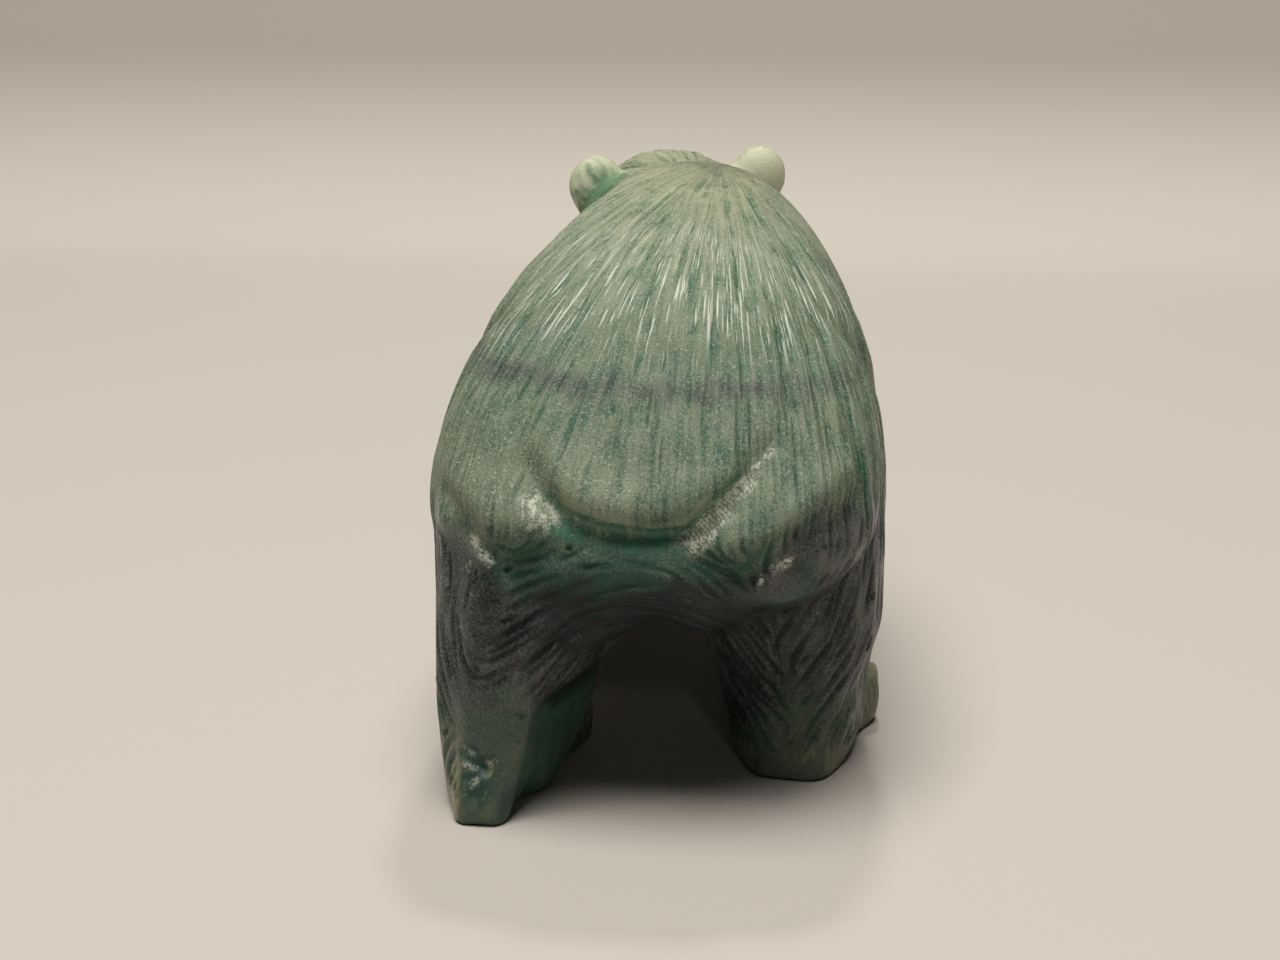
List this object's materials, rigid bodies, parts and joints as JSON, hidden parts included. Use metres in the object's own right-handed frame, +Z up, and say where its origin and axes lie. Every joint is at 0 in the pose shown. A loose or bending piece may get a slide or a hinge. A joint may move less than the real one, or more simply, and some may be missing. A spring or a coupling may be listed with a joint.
{
  "type": "fluorite bear carving",
  "caption": "Small walking bear carved from one block of banded green and purple fluorite, with engraved fur and its head turned to its left.",
  "frame": {"origin": "middle of the bounds in plan, on the surface that the bear stands on", "axes": "+Y from the nose to the rump, +X to the bear's left, +Z up"},
  "size_m": [0.0374, 0.0792, 0.0478],
  "materials": {
    "fluorite": "translucent banded fluorite, frosted engraved fur with rubbed glossy hollows"
  },
  "bodies": {
    "root": {"bear": "fluorite"}
  },
  "joints": []
}
